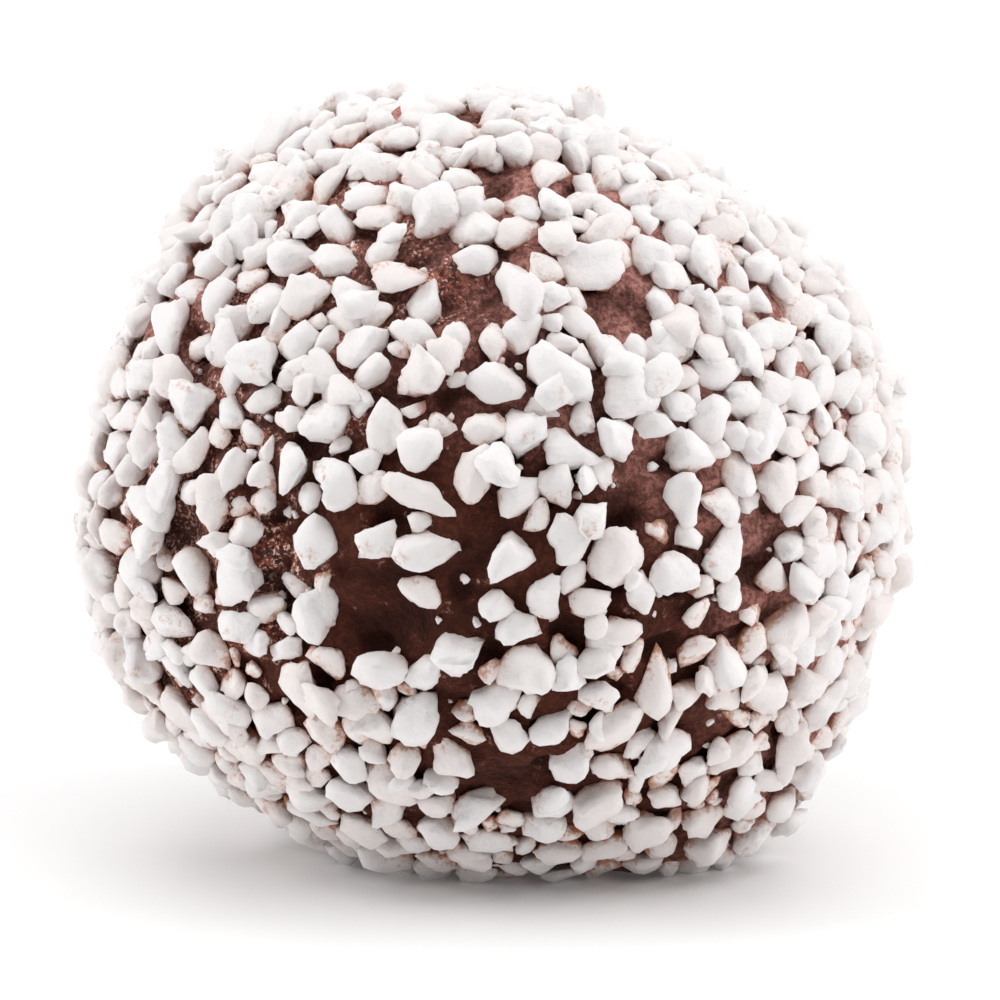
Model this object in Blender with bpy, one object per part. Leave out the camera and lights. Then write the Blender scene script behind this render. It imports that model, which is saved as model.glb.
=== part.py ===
"""A chocolate ball rolled in pearl sugar, as one closed solid.

The ball is soft chocolate dough, rolled by hand: lumpy, swollen at its lower right, and sagged flat where it
lies. The largest of its sugar nibs stand out of it, fused to the dough. Metres, +Z up. The front faces -Y,
and the origin is on the floor, under the middle of the whole.
"""

import bmesh
import bpy
import numpy as np

MM = 0.001
NODE = "chocolate_ball"

# The dough, without its sugar
BALL_RADIUS = 21.9 * MM
BALL_STRETCH = np.array([1.0, 0.985, 0.99])  # of the radius along X, Y and Z
BALL_CENTRE = np.array([0.11, -0.58, 21.2]) * MM  # the origin is then under the middle of the whole
CORE_DIVISIONS = 4  # of the icosphere that the dough is made from
SHARP_FROM = 25  # degrees between faces: the nibs keep their edges

# Where hands and its own weight pushed the dough out or in: azimuth and elevation in degrees, height in mm,
# spread in degrees
LUMPS = (
    (75, -50, 2.9, 15),
    (95, -62, 0.6, 22),
    (115, 63, -1.9, 20),
    (-105, 50, 0.8, 16),
    (-85, -24, 0.5, 16),
    (-55, -55, -0.6, 16),
    (-96, 25, -0.5, 9),
    (92, -22, -0.5, 8),
    (165, 15, 0.7, 24),
    (-150, -15, -0.6, 20),
    (178, -42, 0.5, 18),
    (-20, 78, 0.5, 14),
)
# Creases and pits: azimuth and elevation of one end, then of the other, depth and half width in mm
CREASES = (
    (-12, 38, -2, 41, 1.1, 1.1),
    (-33, 5, -35, -5, 1.0, 1.2),
    (41, 5, 42, -3, 0.8, 1.3),
    (-48, -9, -16, -8, 0.8, 1.5),
    (-12, -20, -5, -24, 0.5, 1.3),
    (150, 30, 172, 22, 0.9, 1.2),
    (-128, 8, -122, -12, 0.9, 1.3),
    (112, -8, 104, 12, 0.8, 1.4),
)
SWELLS = 14  # long soft waves over the whole ball
SWELL_HEIGHT = 0.10 * MM
SWELL_TURNS = (2.0, 6.0)  # radians of wave for each ball radius

# Pearl sugar. The solid has the largest of the nibs, and the rest are too small for it
NIBS_ON_BALL = 1400
NIBS_IN_SOLID = 246
NIB_LENGTH = 2.3 * MM  # median of all
NIB_SPREAD = 0.25  # of the lengths' logarithm
NIB_LONGEST = 4.0 * MM
NIB_WIDTH = (0.60, 0.95)  # of the length
NIB_HEIGHT = (0.62, 0.92)  # of the width
NIB_SEAT = (0.30, 0.62)  # how far a nib's middle stands above the dough, of its half height
NIB_TILT = 14  # degrees, one sigma
NIB_PLANES = 9  # that cut each nib
NIB_PLANE_REACH = (0.52, 1.0)
NIB_EDGE = 11.0  # power that rounds the edges between the planes: higher is sharper
NIB_CAP = 1.18  # the farthest that a corner may reach
NIB_TAPER = 0.30  # most that its ends differ from its middle
NIB_BEND = 0.22  # most that its ends lie to one side
NIB_TRIES = 30  # spots compared for each nib
NIB_FLOOR = 0.15 * MM  # height above the floor of the lowest nibs
UNDERSIDE = -66  # degrees of elevation under which there are none

LANDMARK_TILT = 0.4  # of what the other nibs have
# Nibs that stand out from the rest: azimuth, elevation, length and width in mm, turn in degrees
LANDMARKS = (
    (21, 24, 3.5, 3.1, 10),
    (10, 27, 4.1, 2.8, -62),
    (-14, 53, 3.5, 3.0, 85),
    (5, -16, 3.4, 3.1, -20),
    (17, 1, 3.5, 3.1, -75),
    (0, 26, 3.3, 2.6, 15),
    (-11, 10, 4.1, 1.8, -14),
    (-3, 13, 3.3, 2.1, 82),
    (-11, 16, 2.8, 2.5, 80),
    (-10, 2, 3.6, 2.2, 20),
    (35, 0, 3.5, 2.4, 48),
    (25, -18, 4.1, 2.4, 84),
    (19, -26, 4.0, 2.6, 70),
    (0, -22, 2.9, 2.8, 0),
    (20, -41, 3.2, 3.0, 0),
    (43, 16, 3.7, 2.4, 52),
    (43, 28, 3.4, 2.3, 80),
    (19, 43, 3.8, 2.8, 5),
    (-19, 42, 3.0, 2.3, 8),
    (-13, 40, 3.4, 1.9, 80),
    (-31, -21, 3.6, 2.4, 82),
    (-27, 2, 3.1, 2.6, 70),
)
# Where the dough shows: azimuth, elevation and radius in degrees
BARE_SPOTS = (
    (-6, 38, 6),
    (1, 60, 5),
    (24, 38, 6),
    (-33, 1, 6),
    (41, 1, 5),
    (2, -35, 7),
    (-7, -21, 4),
    (34, -27, 5),
    (-45, -13, 4),
    (-18, -8, 8),
    (-21, 3, 4),
    (24, 13, 4),
    (-4, 2, 5),
    (-14, 47, 4),
)
SEED = 7


def facing(azimuth, elevation):
    """Unit directions from the ball's centre, from degrees: azimuth 0 faces -Y and 90 faces +X."""
    a = np.radians(azimuth)
    e = np.radians(elevation)
    return np.stack([np.sin(a) * np.cos(e), -np.cos(a) * np.cos(e), np.sin(e)], axis=-1)


def hump(cosine, spread):
    """A bell curve of the angle with this cosine: 1 on the axis, and its sigma is spread, in degrees."""
    return np.exp((cosine - 1.0) / np.radians(spread) ** 2)


def dough_radius(directions):
    """How far the dough reaches from its centre along unit directions, shape (n, 3).

    The sum of an ellipsoid, the lumps' bell curves, the swells' sines, less the creases, which are bell
    curves of the distance to a chord. The floor cuts it off.
    """
    radius = BALL_RADIUS / np.linalg.norm(directions / BALL_STRETCH, axis=1)
    for azimuth, elevation, height, spread in LUMPS:
        radius += height * MM * hump(directions @ facing(azimuth, elevation), spread)
    for azimuth_a, elevation_a, azimuth_b, elevation_b, depth, half_width in CREASES:
        a = facing(azimuth_a, elevation_a) * BALL_RADIUS
        b = facing(azimuth_b, elevation_b) * BALL_RADIUS
        spots = directions * BALL_RADIUS
        along = np.clip((spots - a) @ (b - a) / ((b - a) @ (b - a)), 0.0, 1.0)
        away = np.linalg.norm(spots - a - along[:, None] * (b - a), axis=1)
        radius -= depth * MM * np.exp(-0.5 * (away / (half_width * MM)) ** 2)
    rng = np.random.default_rng([SEED, 1])
    waves = rng.normal(size=(SWELLS, 3))
    waves *= (rng.uniform(*SWELL_TURNS, SWELLS) / np.linalg.norm(waves, axis=1))[:, None]
    radius += SWELL_HEIGHT * np.sin(directions @ waves.T + rng.uniform(0, 2 * np.pi, SWELLS)).sum(axis=1)
    down = np.minimum(directions[:, 2], -1e-6)
    return np.minimum(radius, BALL_CENTRE[2] / -down)


def nib_sizes():
    """Length, width and height of each nib, shape (n, 3): the landmarks, then the rest, longest first."""
    rng = np.random.default_rng([SEED, 2])
    drawn = rng.lognormal(np.log(NIB_LENGTH), NIB_SPREAD, NIBS_ON_BALL)
    length = np.sort(np.minimum(drawn, NIB_LONGEST))[::-1][:NIBS_IN_SOLID]
    width = length * rng.uniform(*NIB_WIDTH, NIBS_IN_SOLID)
    marks = np.array(LANDMARKS, float)
    length[: len(marks)] = marks[:, 2] * MM
    width[: len(marks)] = marks[:, 3] * MM
    return np.stack([length, width, width * rng.uniform(*NIB_HEIGHT, NIBS_IN_SOLID)], axis=1)


def in_bare_spot(spots):
    """Whether each direction lies where the dough shows, or under the ball."""
    bare = spots[:, 2] < np.sin(np.radians(UNDERSIDE))
    for azimuth, elevation, radius in BARE_SPOTS:
        bare |= spots @ facing(azimuth, elevation) > np.cos(np.radians(radius))
    return bare


def spread_nibs(sizes):
    """The direction of each nib from the ball's centre, shape (n, 3), spread evenly after the landmarks.

    Of some random spots outside the bare ones, a nib takes the one farthest from the nibs already there.
    """
    rng = np.random.default_rng([SEED, 3])
    marks = np.array(LANDMARKS, float)
    placed = facing(marks[:, 0], marks[:, 1])
    while len(placed) < len(sizes):
        spots = rng.normal(size=(NIB_TRIES, 3))
        spots /= np.linalg.norm(spots, axis=1)[:, None]
        spots = spots[~in_bare_spot(spots)]
        nearest = np.linalg.norm(spots[:, None] - placed[None], axis=2).min(axis=1)
        placed = np.vstack([placed, spots[nearest.argmax()]])
    return placed


def nib_frames(outward):
    """The axes of each nib as columns, shape (n, 3, 3): length and width lie about along the dough."""
    rng = np.random.default_rng([SEED, 4])
    turn = rng.uniform(0, 2 * np.pi, (NIBS_IN_SOLID, 1))
    tilt = np.radians(rng.normal(0, NIB_TILT, (NIBS_IN_SOLID, 2)))
    turn[: len(LANDMARKS), 0] = np.radians([row[4] for row in LANDMARKS])
    tilt[: len(LANDMARKS)] *= LANDMARK_TILT
    east = np.cross([0.0, 0.0, 1.0], outward)
    east /= np.linalg.norm(east, axis=1)[:, None]
    north = np.cross(outward, east)
    long_axis = east * np.cos(turn) + north * np.sin(turn) + outward * np.tan(tilt[:, :1])
    long_axis /= np.linalg.norm(long_axis, axis=1)[:, None]
    up = outward + np.cross(outward, long_axis) * np.tan(tilt[:, 1:])
    across = np.cross(up, long_axis)
    across /= np.linalg.norm(across, axis=1)[:, None]
    return np.stack([long_axis, across, np.cross(long_axis, across)], axis=2)


def nib_shapes(directions):
    """Points of each nib along unit directions, shape (n, points, 3), within -1 to 1 on its own axes.

    A nib is a crystal cut by planes: its radius is the inverse p-norm of direction . normal / reach over
    the planes, which rounds the edges between them. It is then tapered and bent along its length.
    """
    rng = np.random.default_rng([SEED, 5])
    normals = rng.normal(size=(NIBS_IN_SOLID, NIB_PLANES, 3))
    normals /= np.linalg.norm(normals, axis=2)[:, :, None]
    reach = rng.uniform(*NIB_PLANE_REACH, (NIBS_IN_SOLID, 1, NIB_PLANES))
    taper = rng.uniform(-NIB_TAPER, NIB_TAPER, (NIBS_IN_SOLID, 1))
    bend = rng.uniform(-NIB_BEND, NIB_BEND, (NIBS_IN_SOLID, 1))
    cuts = np.maximum(np.einsum("vi,nki->nvk", directions, normals), 0.0) / reach
    radius = ((cuts**NIB_EDGE).sum(axis=2) + NIB_CAP**-NIB_EDGE) ** (-1 / NIB_EDGE)
    points = directions[None] * radius[:, :, None]
    slim = 1 + taper * points[:, :, 0]
    points[:, :, 1] = points[:, :, 1] * slim + bend * points[:, :, 0] ** 2
    points[:, :, 2] *= slim
    low, high = points.min(axis=1, keepdims=True), points.max(axis=1, keepdims=True)
    return (points - (low + high) / 2) / ((high - low) / 2)


def nib_points(directions):
    """Points of every nib in its place, shape (n, points, 3), one for each of the unit directions.

    Those by the floor are moved up, so that the ball lies on its flat spot.
    """
    sizes = nib_sizes()
    outward = spread_nibs(sizes)
    seat = np.random.default_rng([SEED, 6]).uniform(*NIB_SEAT, NIBS_IN_SOLID)
    height = dough_radius(outward) + seat * sizes[:, 2] / 2
    middles = BALL_CENTRE + outward * height[:, None]
    points = nib_shapes(directions) * sizes[:, None] / 2
    points = np.einsum("nij,nvj->nvi", nib_frames(outward), points) + middles[:, None]
    points[:, :, 2] += np.maximum(NIB_FLOOR - points[:, :, 2].min(axis=1), 0.0)[:, None]
    return points


def icosphere(subdivisions):
    """Unit directions and faces of Blender's icosphere, which has 12 and 20 of them at one subdivision."""
    ball = bmesh.new()
    bmesh.ops.create_icosphere(ball, subdivisions=subdivisions, radius=1.0)
    directions = np.array([vertex.co for vertex in ball.verts])
    directions /= np.linalg.norm(directions, axis=1)[:, None]
    faces = [[vertex.index for vertex in face.verts] for face in ball.faces]
    ball.free()
    return directions, faces


def mesh_object(name, points, faces, material, collection):
    """A mesh object of these points and faces, in a collection."""
    mesh = bpy.data.meshes.new(name)
    mesh.from_pydata(points.tolist(), [], faces)
    mesh.materials.append(material)
    mesh.update()
    made = bpy.data.objects.new(name, mesh)
    collection.objects.link(made)
    return made


def food_material(name, colour, roughness):
    """A Principled material of one colour, given in linear light."""
    material = bpy.data.materials.new(name)
    material.use_nodes = True
    shader = material.node_tree.nodes["Principled BSDF"]
    shader.inputs["Base Color"].default_value = (*colour, 1.0)
    shader.inputs["Roughness"].default_value = roughness
    shader.inputs["Metallic"].default_value = 0.0
    material.diffuse_color = (*colour, 1.0)
    return material


def dough_ball(material):
    """The ball of dough, with its flat spot on the floor."""
    directions, faces = icosphere(CORE_DIVISIONS)
    points = BALL_CENTRE + directions * dough_radius(directions)[:, None]
    points[:, 2] = np.where(points[:, 2] < 1e-7, 0.0, points[:, 2])
    return mesh_object(NODE, points, faces, material, bpy.context.scene.collection)


def sugar_nibs(material):
    """A collection of the nibs, each a closed mesh that reaches into the dough."""
    nibs = bpy.data.collections.new("sugar_nibs")
    bpy.context.scene.collection.children.link(nibs)
    directions, faces = icosphere(1)
    for number, points in enumerate(nib_points(directions)):
        mesh_object(f"nib_{number:03d}", points, faces, material, nibs)
    return nibs


def fuse(ball, nibs):
    """Joins the nibs to the ball with one Boolean union, applies it, and removes them."""
    union = ball.modifiers.new("sugar", "BOOLEAN")
    union.operation = "UNION"
    union.operand_type = "COLLECTION"
    union.collection = nibs
    union.solver = "EXACT"
    union.material_mode = "TRANSFER"
    bpy.context.view_layer.update()
    fused = bpy.data.meshes.new_from_object(ball.evaluated_get(bpy.context.evaluated_depsgraph_get()))
    ball.modifiers.clear()
    ball.data = fused
    fused.name = NODE
    fused.shade_smooth()
    fused.set_sharp_from_angle(angle=np.radians(SHARP_FROM))
    for nib in list(nibs.objects):
        bpy.data.objects.remove(nib)
    bpy.data.collections.remove(nibs)


def main():
    for old in list(bpy.data.objects):
        bpy.data.objects.remove(old)
    chocolate = food_material("chocolate", (0.095, 0.036, 0.024), 0.45)
    sugar = food_material("pearl_sugar", (0.86, 0.82, 0.79), 0.55)
    ball = dough_ball(chocolate)
    fuse(ball, sugar_nibs(sugar))


main()
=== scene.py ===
"""The looks of a chocolate ball rolled in pearl sugar: moist crumbly dough and nearly two thousand nibs.

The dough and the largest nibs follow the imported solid: the same lumps, creases and places. The smaller
nibs, which the solid leaves out, are scattered between and over them by a seeded rule.
Metres, +Z up, front at -Y.
"""

import bpy
import numpy as np
from bpy.props import FloatProperty, FloatVectorProperty, IntProperty, PointerProperty
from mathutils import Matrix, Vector


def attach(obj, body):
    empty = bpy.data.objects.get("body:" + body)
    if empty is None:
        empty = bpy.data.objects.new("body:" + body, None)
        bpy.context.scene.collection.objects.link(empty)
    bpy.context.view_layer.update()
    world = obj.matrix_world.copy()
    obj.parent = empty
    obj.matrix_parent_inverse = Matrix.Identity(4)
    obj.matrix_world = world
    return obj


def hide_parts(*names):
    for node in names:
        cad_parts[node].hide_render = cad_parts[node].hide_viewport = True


bl_info = {
    "name": "Chocolate ball",
    "version": (1, 0, 0),
    "blender": (4, 5, 0),
    "location": "3D View > Sidebar > Sweets",
    "description": "Dresses a packed chocolate ball in crumbly dough and pearl sugar",
    "category": "Add Mesh",
}

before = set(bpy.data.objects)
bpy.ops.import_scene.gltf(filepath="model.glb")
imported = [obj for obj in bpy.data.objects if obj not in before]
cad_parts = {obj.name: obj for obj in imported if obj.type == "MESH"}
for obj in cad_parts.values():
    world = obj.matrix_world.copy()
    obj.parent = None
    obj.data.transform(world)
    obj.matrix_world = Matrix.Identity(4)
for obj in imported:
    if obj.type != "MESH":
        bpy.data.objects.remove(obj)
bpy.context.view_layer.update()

MM = 0.001
NODE = "chocolate_ball"

# The dough, without its sugar, as in the solid
BALL_RADIUS = 21.9 * MM
BALL_STRETCH = np.array([1.0, 0.985, 0.99])  # of the radius along X, Y and Z
BALL_CENTRE = np.array([0.11, -0.58, 21.2]) * MM
# Lumps: azimuth and elevation in degrees, height in mm, spread in degrees
LUMPS = (
    (75, -50, 2.9, 15),
    (95, -62, 0.6, 22),
    (115, 63, -1.9, 20),
    (-105, 50, 0.8, 16),
    (-85, -24, 0.5, 16),
    (-55, -55, -0.6, 16),
    (-96, 25, -0.5, 9),
    (92, -22, -0.5, 8),
    (165, 15, 0.7, 24),
    (-150, -15, -0.6, 20),
    (178, -42, 0.5, 18),
    (-20, 78, 0.5, 14),
)
# Creases and pits: azimuth and elevation of one end, then of the other, depth and half width in mm
CREASES = (
    (-12, 38, -2, 41, 1.1, 1.1),
    (-33, 5, -35, -5, 1.0, 1.2),
    (41, 5, 42, -3, 0.8, 1.3),
    (-48, -9, -16, -8, 0.8, 1.5),
    (-12, -20, -5, -24, 0.5, 1.3),
    (150, 30, 172, 22, 0.9, 1.2),
    (-128, 8, -122, -12, 0.9, 1.3),
    (112, -8, 104, 12, 0.8, 1.4),
)
SWELLS = 14  # long soft waves over the whole ball
SWELL_HEIGHT = 0.10 * MM
SWELL_TURNS = (2.0, 6.0)  # radians of wave for each ball radius
# Moist spots, without the powder and painted sheen of the rest and with the deepest painted pit shade:
# azimuth, elevation and spread in degrees, and how much
MOIST = (
    (-5, -20, 30, 1.0),
    (-48, -28, 21, 0.5),
    (-26, 38, 20, 0.2),
    (5, -62, 22, 0.3),
    (178, -5, 46, 0.8),
    (-108, 0, 24, 0.55),
    (108, 0, 24, 0.55),
)
# Where glints are painted in it as pale flecks, and it is glossier: azimuth, elevation and spread in degrees
GLINT_PATCHES = (
    (-16, 46, 8),
    (-46, 28, 10),
    (-30, 26, 6),
    (-58, 0, 10),
    (-38, -6, 6),
    (-62, -18, 8),
    (-34, 50, 7),
    (-140, 20, 16),
    (150, -10, 14),
    (100, 40, 10),
)

# The dough's crumbs, which the solid leaves out
CRUMB_WAVES = 40  # how many sine waves are in each sum
CRUMB_LENGTHS = (2.5 * MM, 6.0 * MM)  # the shortest and longest of them
PIT_LENGTHS = (1.8 * MM, 4.0 * MM)  # and of those that give the pits
PIT_LEAST = 0.9  # how high those run before a pit starts
PIT_MOST = 1.2  # how much higher they run where it is deepest
COARSE_CRUMB = 1.8 * MM
FINE_CRUMB = 0.8 * MM
CRUMB_MEAN = 0.6  # of the grains' heights, taken off so that the relief stays about 0
GRAIN_ORIGIN = 3.0  # metres that the grains' cells start away from the ball
GRAIN_JITTER = 0.45  # most that a grain's middle strays, of its cell
# What turns a cell's coordinates and a seed into numbers that look random
CELL_PRIMES = (73856093, 19349663, 83492791, 2654435761)
CODES = 100003
CODE_STEPS = (0.7, 1.3, 2.1)
SINE_SCALE = 43758.5453

# Pearl sugar, as in the solid
NIBS_ON_BALL = 1400
NIBS_IN_SOLID = 246
NIB_LENGTH = 2.3 * MM  # median of all
NIB_SPREAD = 0.25  # of the lengths' logarithm
NIB_LONGEST = 4.0 * MM
NIB_WIDTH = (0.60, 0.95)  # of the length
NIB_HEIGHT = (0.62, 0.92)  # of the width
NIB_SEAT = (0.30, 0.62)  # how far a nib's middle stands above the dough, of its half height
NIB_TILT = 14  # degrees, one sigma
NIB_PLANES = 9  # that cut each nib
NIB_PLANE_REACH = (0.52, 1.0)
NIB_EDGE = 11.0  # power that rounds the edges between the planes: higher is sharper
NIB_CAP = 1.18  # the farthest that a corner may reach
NIB_TAPER = 0.30  # most that its ends differ from its middle
NIB_BEND = 0.22  # most that its ends lie to one side
NIB_TRIES = 30  # spots compared for each nib
UNDERSIDE = -66  # degrees of elevation under which the solid has none
LANDMARK_TILT = 0.4  # of what the other nibs have
# Nibs that stand out from the rest: azimuth, elevation, length and width in mm, turn in degrees
LANDMARKS = (
    (21, 24, 3.5, 3.1, 10),
    (10, 27, 4.1, 2.8, -62),
    (-14, 53, 3.5, 3.0, 85),
    (5, -16, 3.4, 3.1, -20),
    (17, 1, 3.5, 3.1, -75),
    (0, 26, 3.3, 2.6, 15),
    (-11, 10, 4.1, 1.8, -14),
    (-3, 13, 3.3, 2.1, 82),
    (-11, 16, 2.8, 2.5, 80),
    (-10, 2, 3.6, 2.2, 20),
    (35, 0, 3.5, 2.4, 48),
    (25, -18, 4.1, 2.4, 84),
    (19, -26, 4.0, 2.6, 70),
    (0, -22, 2.9, 2.8, 0),
    (20, -41, 3.2, 3.0, 0),
    (43, 16, 3.7, 2.4, 52),
    (43, 28, 3.4, 2.3, 80),
    (19, 43, 3.8, 2.8, 5),
    (-19, 42, 3.0, 2.3, 8),
    (-13, 40, 3.4, 1.9, 80),
    (-31, -21, 3.6, 2.4, 82),
    (-27, 2, 3.1, 2.6, 70),
)
# Where the dough shows: azimuth, elevation and radius in degrees
BARE_SPOTS = (
    (-6, 38, 6),
    (1, 60, 5),
    (24, 38, 6),
    (-33, 1, 6),
    (41, 1, 5),
    (2, -35, 7),
    (-7, -21, 4),
    (34, -27, 5),
    (-45, -13, 4),
    (-18, -8, 8),
    (-21, 3, 4),
    (24, 13, 4),
    (-4, 2, 5),
    (-14, 47, 4),
)
SEED = 7
# The seed of each kind of random draw, which goes with SEED. The first six are the solid's.
DRAWS = {
    "swells": 1,
    "lengths": 2,
    "places": 3,
    "turns": 4,
    "shapes": 5,
    "seats": 6,
    "scatter": 11,
    "small shapes": 15,
    "small seats": 16,
    "warmth_and_bounce": 17,
    "crumbs": 18,
    "crumb shapes": 19,
    "relief": 21,
    "pits": 22,
    "crowds": 23,
    "fallen": 24,
}

# What the solid's nibs are too plain to have: dents along waves, and round bites
NIB_DENTS = 8  # waves for each nib
NIB_DENT_TURNS = (3.0, 8.0)  # radians of wave for each half length
NIB_DENT_DEPTH = 0.03
NIB_BITES = 3  # for each nib
NIB_BITE_DEPTH = 0.28  # of the nib's radius, at most
NIB_BITE_SPREAD = 24  # degrees
NIB_ROUGHNESS = 0.04  # one sigma of what each point of a nib strays, of its radius

# The rest of the nibs, which the solid leaves out
SMALL_NIBS = 2500
SMALL_LENGTH = 2.05 * MM
SMALL_SPREAD = 0.25
SMALL_LONGEST = 2.9 * MM
GAP_TRIES = 60  # spots and turns that a nib may try before it is left out
GAP_LEAST = 0.77  # how far apart nibs keep, of where their outlines would touch
GAP_MORE = 0.05  # how much farther for each step of SPARSE
CROWD_WAVES = 24  # how many sine waves say where they crowd together
CROWD_LENGTHS = (5.0 * MM, 9.0 * MM)  # the shortest and longest of them
CROWD_LEAST = 2.7  # how low those waves must fall before a spot stays bare, less what SPARSE says
# Where fewer crowd together, or more where it is negative: azimuth, elevation and spread in degrees, how much
SPARSE = (
    (-5, -3, 30, 2.1),
    (-60, 3, 20, 2.3),
    (28, 3, 17, 2.2),
    (5, -52, 15, 1.6),
    (-40, 38, 15, 0.9),
    (50, 38, 25, -2.0),
    (74, 0, 22, -2.0),
    (0, 74, 14, -1.2),
    (-150, 0, 30, 1.2),
)
# Nibs on top of others
PILE_GAP = 0.42  # how far apart they keep, as GAP_LEAST
PILE_STAND = 0.6  # how high a nib below stands, of its height
PILE_LIFT = 0.75  # how much of that lifts a piled one
PILE_TILT = 1.5  # how much more they tilt
PILE_HIGHEST = 0.75 * MM
PILE_LOWEST = -40  # degrees of elevation
PILE_CLEAR = 40  # degrees round the front's middle with hardly any of them
FRONT = (-10, 0)  # azimuth and elevation of the front's middle, in degrees
# Bare patches at the back, where nibs have dropped off
BACK = (175, 0)  # azimuth and elevation of the back's middle, in degrees
BACK_SPREAD = 52  # degrees
FALLEN_LEAST = 3.0  # how low the waves must run for a bare patch far from the back
FALLEN_SHARE = 2.6  # how much less low at the back's middle
# Fine crumbs of sugar
SUGAR_CRUMB_LENGTH = 0.55 * MM  # median
SUGAR_CRUMB_SPREAD = 0.35  # of the lengths' logarithm
SUGAR_CRUMB_WIDTH = (0.6, 1.0)  # of the length
SUGAR_CRUMB_SEAT = 0.2  # how far a crumb's middle stands above the dough, of its height
SUGAR_CRUMB_WARMTH = 0.3  # of 0 to 1
# Each nib's tint: 0 to 1 by chance, and more on the lower half, which is painted shade of the dough's reddish
# bounce light
LOW_BOUNCE_SHADE = 0.35
LOW_START = 0.3  # the share of it at the ball's middle
LOW_RATE = 1.5  # how fast that grows to 1 on the way down
# The nibs' pieces, longest first, and the squares along each side of the cube that a nib starts from
NIB_PIECES = (("large_nibs", 5), ("medium_nibs", 4), ("small_nibs", 4), ("fine_nibs", 4))

CAMERA_ELEVATION = 12  # degrees
CAMERA_AIM = (0.28 * MM, -1.02 * MM)  # right and up of the ball's centre
CAMERA_CLIP = (0.01, 20.0)  # nearest and farthest that it sees, in m
ROOM_GLOW = 0.02  # strength of the world's white
# Softboxes: name, azimuth, elevation, distance in m, width and height in m, power in W
LIGHTS = (
    ("top_light", 0, 76, 0.9, 0.9, 0.9, 4.0),
    ("high_back_light", 170, 72, 0.9, 0.9, 0.9, 1.8),
    ("left_light", -86, 28, 0.9, 0.4, 0.8, 4.9),
    ("right_light", 86, 30, 0.9, 0.5, 0.9, 3.9),
    ("right_front_light", 50, 35, 0.9, 0.7, 0.7, 1.5),
    ("back_light", 180, 25, 0.9, 0.9, 0.6, 2.7),
)


def facing(azimuth, elevation):
    """Unit directions from the ball's centre, from degrees: azimuth 0 faces -Y and 90 faces +X."""
    a = np.radians(azimuth)
    e = np.radians(elevation)
    return np.stack([np.sin(a) * np.cos(e), -np.cos(a) * np.cos(e), np.sin(e)], axis=-1)


def draws(kind):
    """Random numbers for one kind of draw, the same on each run and whatever the others take."""
    return np.random.default_rng([SEED, DRAWS[kind]])


def unit(vectors):
    """The same vectors at length 1."""
    return vectors / np.linalg.norm(vectors, axis=-1, keepdims=True)


def hump(cosine, spread):
    """A bell curve of the angle with this cosine: 1 on the axis. Its sigma is spread, in degrees."""
    return np.exp((cosine - 1.0) / np.radians(spread) ** 2)


# Sizes and colours that a user would change


class DoughSettings(bpy.types.PropertyGroup):
    detail: IntProperty(
        name="Detail", description="Squares along each side of the dough's cube", default=118
    )
    lift: FloatProperty(
        name="Lift",
        description="Height of the dough's flat spot above the floor, where nibs hold it up",
        default=0.5 * MM,
        unit="LENGTH",
    )
    crumb: FloatProperty(
        name="Crumb",
        description="Height of the dough's crumbs",
        default=0.26 * MM,
        unit="LENGTH",
    )
    colour: FloatVectorProperty(
        name="Dough",
        description="Colour of the dough",
        subtype="COLOR",
        default=(0.047, 0.0125, 0.0075),
    )
    # Painted shade, mixed into the dough's pits, deepest where it is moist
    painted_pit_shade: FloatVectorProperty(
        name="Moist dough",
        description="Colour where it is moist",
        subtype="COLOR",
        default=(0.026, 0.008, 0.0055),
    )
    # Powder on the dough away from its moist spots, which also paints the sheen of its lit rims
    dust_and_sheen: FloatVectorProperty(
        name="Dry dough",
        description="Colour where it has dried",
        subtype="COLOR",
        default=(0.600, 0.318, 0.285),
    )
    # The dough's own red-brown, also painted as light on its ridges, rims and glint patches
    ruddy: FloatVectorProperty(
        name="Ruddy dough",
        description="Colour between the crystals",
        subtype="COLOR",
        default=(0.430, 0.118, 0.070),
    )
    # Painted glints: pale flecks that stand in for light glinting off fine crystals
    painted_glint: FloatVectorProperty(
        name="Crystals",
        description="Colour of the fine crystals",
        subtype="COLOR",
        default=(0.90, 0.62, 0.53),
    )


class SugarSettings(bpy.types.PropertyGroup):
    colour: FloatVectorProperty(
        name="Sugar",
        description="Colour of the sugar",
        subtype="COLOR",
        default=(0.930, 0.902, 0.897),
    )
    # Also painted shade: the dough's reddish bounce light, near the dough and on the lower nibs
    cream_and_bounce: FloatVectorProperty(
        name="Warm sugar",
        description="Colour of the warmer nibs",
        subtype="COLOR",
        default=(0.90, 0.825, 0.80),
    )
    stain: FloatVectorProperty(
        name="Stain",
        description="Colour where cocoa has soaked in",
        subtype="COLOR",
        default=(0.58, 0.27, 0.125),
    )
    fringe: FloatVectorProperty(
        name="Fringe",
        description="Colour where it meets the dough",
        subtype="COLOR",
        default=(0.46, 0.12, 0.055),
    )
    piled: IntProperty(
        name="Piled nibs", description="How many lie on top of others", default=420
    )
    crumbs: IntProperty(
        name="Sugar crumbs", description="How many fine crumbs there are", default=500
    )


class StageSettings(bpy.types.PropertyGroup):
    floor: FloatVectorProperty(
        name="Floor",
        description="Colour of the floor",
        subtype="COLOR",
        default=(0.95, 0.95, 0.95),
    )
    distance: FloatProperty(
        name="Camera distance",
        description="From the camera to the ball",
        default=0.42,
        unit="LENGTH",
    )
    view_width: FloatProperty(
        name="View width",
        description="What the camera takes in at the ball",
        default=56.6 * MM,
        unit="LENGTH",
    )


# Shader expressions

# A Mix node's sockets share their names, so its colours go by number
COLOUR_A = 6
COLOUR_B = 7
COLOUR_RESULT = 2


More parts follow.
